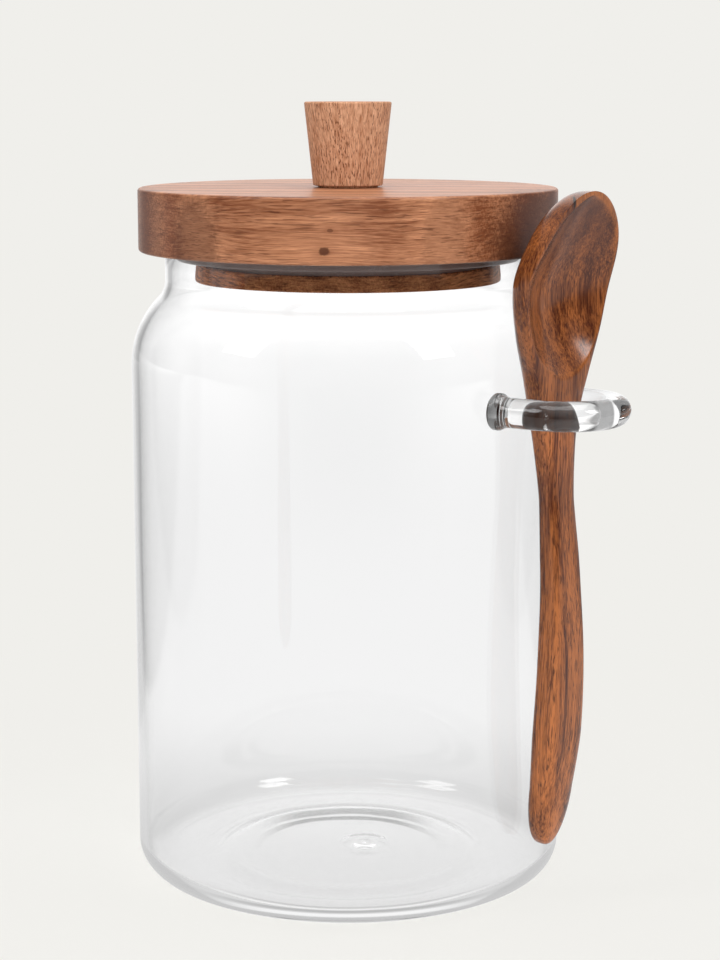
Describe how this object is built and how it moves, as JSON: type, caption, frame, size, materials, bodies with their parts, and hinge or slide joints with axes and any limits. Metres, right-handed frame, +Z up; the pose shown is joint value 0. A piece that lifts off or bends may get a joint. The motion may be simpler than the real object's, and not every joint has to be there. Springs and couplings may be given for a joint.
{
  "type": "storage jar",
  "caption": "Round clear glass storage jar with a thick turned wooden lid and seal, and a wooden spoon that hangs in a glass loop on its wall.",
  "frame": {"origin": "on the jar's axis, at the level of the table that it stands on", "axes": "+Z up along the jar's axis, -Y toward the pictured front, +X to the right of that view"},
  "size_m": [0.1116, 0.1, 0.1793],
  "materials": {
    "clear_glass": "clear blown borosilicate glass",
    "lid_wood": "matte oiled hardwood",
    "knob_wood": "matte pale hardwood with short pores",
    "silicone": "translucent grey silicone",
    "steel": "zinc-plated steel",
    "spoon_wood": "satin dark hardwood"
  },
  "bodies": {
    "jar": {"glass_jar": "clear_glass", "spoon_loop": "clear_glass"},
    "lid": {"lid_disc": "lid_wood", "plug_stave_left": "lid_wood", "plug_stave_middle": "lid_wood", "plug_stave_right": "lid_wood", "seal_ring": "silicone", "lid_knob": "knob_wood", "knob_screw": "steel"},
    "spoon": {"spoon": "spoon_wood"}
  },
  "joints": [
    {"name": "lid_lift", "type": "slide", "parent": "jar", "child": "lid", "axis": [0, 0, 1], "range_m": [0, 0.06]},
    {"name": "spoon_lift", "type": "slide", "parent": "jar", "child": "spoon", "axis": [0, 0, 1], "range_m": [0, 0.11]}
  ]
}
